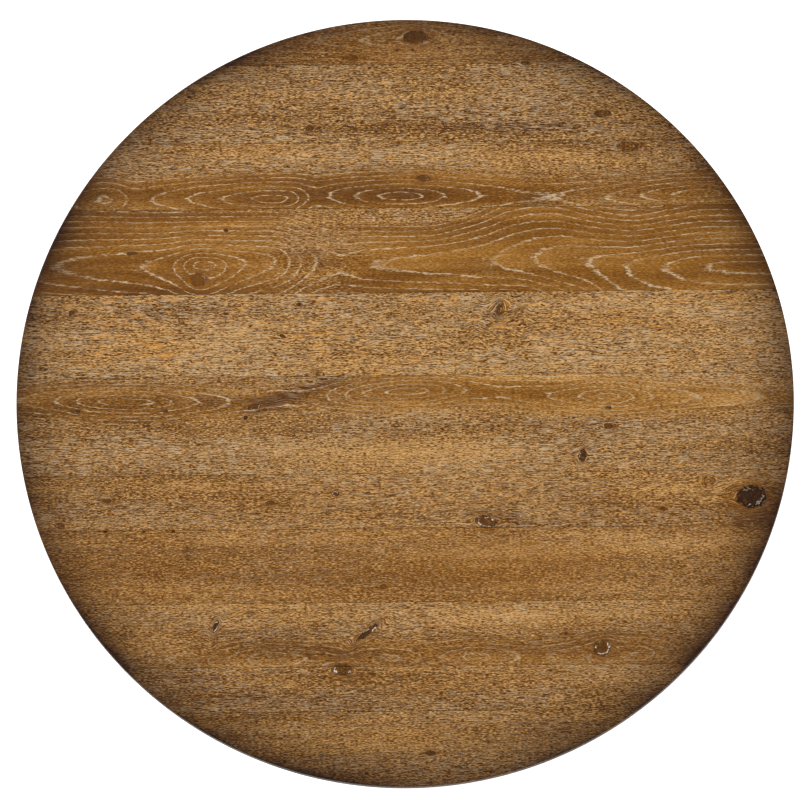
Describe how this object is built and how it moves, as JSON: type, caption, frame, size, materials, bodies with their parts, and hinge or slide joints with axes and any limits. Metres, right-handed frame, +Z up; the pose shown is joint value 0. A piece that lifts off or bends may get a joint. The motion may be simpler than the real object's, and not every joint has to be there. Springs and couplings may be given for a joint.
{
  "type": "round pedestal table",
  "caption": "Round dining table with a glued oak plank top on a turned column, with curved feet and levelling glides.",
  "frame": {"origin": "on the floor, under the middle of the top", "axes": "+Z up, +X along the top's boards, +Y to the rear"},
  "size_m": [1.372, 1.372, 0.762],
  "materials": {
    "oak_top": "wire-brushed oak, brown stain, limed grain, matt",
    "oak_base": "wire-brushed oak, brown stain, limed grain, matt",
    "zinc_steel": "zinc-plated steel",
    "black_steel": "black powder coat",
    "glide_nylon": "moulded nylon"
  },
  "bodies": {
    "table": {"top_board_01": "oak_top", "top_board_02": "oak_top", "top_board_03": "oak_top", "top_board_04": "oak_top", "top_board_05": "oak_top", "top_board_06": "oak_top", "top_board_07": "oak_top", "top_board_08": "oak_top", "top_board_09": "oak_top", "top_board_10": "oak_top", "top_board_11": "oak_top", "batten_left": "oak_base", "batten_right": "oak_base", "bearer_lower": "oak_base", "bearer_upper": "oak_base", "column_cap": "oak_base", "column": "oak_base", "hub": "oak_base", "foot_front_right": "oak_base", "foot_rear_right": "oak_base", "foot_rear_left": "oak_base", "foot_front_left": "oak_base", "batten_screw_left_1": "zinc_steel", "batten_screw_left_2": "zinc_steel", "batten_screw_left_3": "zinc_steel", "batten_screw_right_1": "zinc_steel", "batten_screw_right_2": "zinc_steel", "batten_screw_right_3": "zinc_steel", "bearer_screw_front_right": "zinc_steel", "bearer_screw_rear_right": "zinc_steel", "bearer_screw_rear_left": "zinc_steel", "bearer_screw_front_left": "zinc_steel", "plate_screw_front_right": "zinc_steel", "plate_screw_rear_right": "zinc_steel", "plate_screw_rear_left": "zinc_steel", "plate_screw_front_left": "zinc_steel", "base_plate": "black_steel", "tie_rod": "zinc_steel", "tie_rod_nut_lower": "zinc_steel", "tie_rod_nut_upper": "zinc_steel", "glide_insert_front_right": "zinc_steel", "glide_insert_rear_right": "zinc_steel", "glide_insert_rear_left": "zinc_steel", "glide_insert_front_left": "zinc_steel"},
    "pad_front_right": {"glide_pad_front_right": "glide_nylon"},
    "stem_front_right": {"glide_stem_front_right": "zinc_steel"},
    "pad_rear_right": {"glide_pad_rear_right": "glide_nylon"},
    "stem_rear_right": {"glide_stem_rear_right": "zinc_steel"},
    "pad_rear_left": {"glide_pad_rear_left": "glide_nylon"},
    "stem_rear_left": {"glide_stem_rear_left": "zinc_steel"},
    "pad_front_left": {"glide_pad_front_left": "glide_nylon"},
    "stem_front_left": {"glide_stem_front_left": "zinc_steel"}
  },
  "joints": [
    {"name": "glide_travel_front_right", "type": "slide", "parent": "table", "child": "pad_front_right", "axis": [0, 0, -1], "range_m": [0, 0.01]},
    {"name": "glide_turn_front_right", "type": "hinge", "parent": "pad_front_right", "child": "stem_front_right", "pos_m": [0.27224, -0.27224, 0], "axis": [0, 0, -1], "range_deg": [0, 2880]},
    {"name": "glide_travel_rear_right", "type": "slide", "parent": "table", "child": "pad_rear_right", "axis": [0, 0, -1], "range_m": [0, 0.01]},
    {"name": "glide_turn_rear_right", "type": "hinge", "parent": "pad_rear_right", "child": "stem_rear_right", "pos_m": [0.27224, 0.27224, 0], "axis": [0, 0, -1], "range_deg": [0, 2880]},
    {"name": "glide_travel_rear_left", "type": "slide", "parent": "table", "child": "pad_rear_left", "axis": [0, 0, -1], "range_m": [0, 0.01]},
    {"name": "glide_turn_rear_left", "type": "hinge", "parent": "pad_rear_left", "child": "stem_rear_left", "pos_m": [-0.27224, 0.27224, 0], "axis": [0, 0, -1], "range_deg": [0, 2880]},
    {"name": "glide_travel_front_left", "type": "slide", "parent": "table", "child": "pad_front_left", "axis": [0, 0, -1], "range_m": [0, 0.01]},
    {"name": "glide_turn_front_left", "type": "hinge", "parent": "pad_front_left", "child": "stem_front_left", "pos_m": [-0.27224, -0.27224, 0], "axis": [0, 0, -1], "range_deg": [0, 2880]}
  ],
  "couplings": [
    {"joint": "glide_turn_front_right", "follows": "glide_travel_front_right", "rad_per_m": 5026.5},
    {"joint": "glide_turn_rear_right", "follows": "glide_travel_rear_right", "rad_per_m": 5026.5},
    {"joint": "glide_turn_rear_left", "follows": "glide_travel_rear_left", "rad_per_m": 5026.5},
    {"joint": "glide_turn_front_left", "follows": "glide_travel_front_left", "rad_per_m": 5026.5}
  ]
}
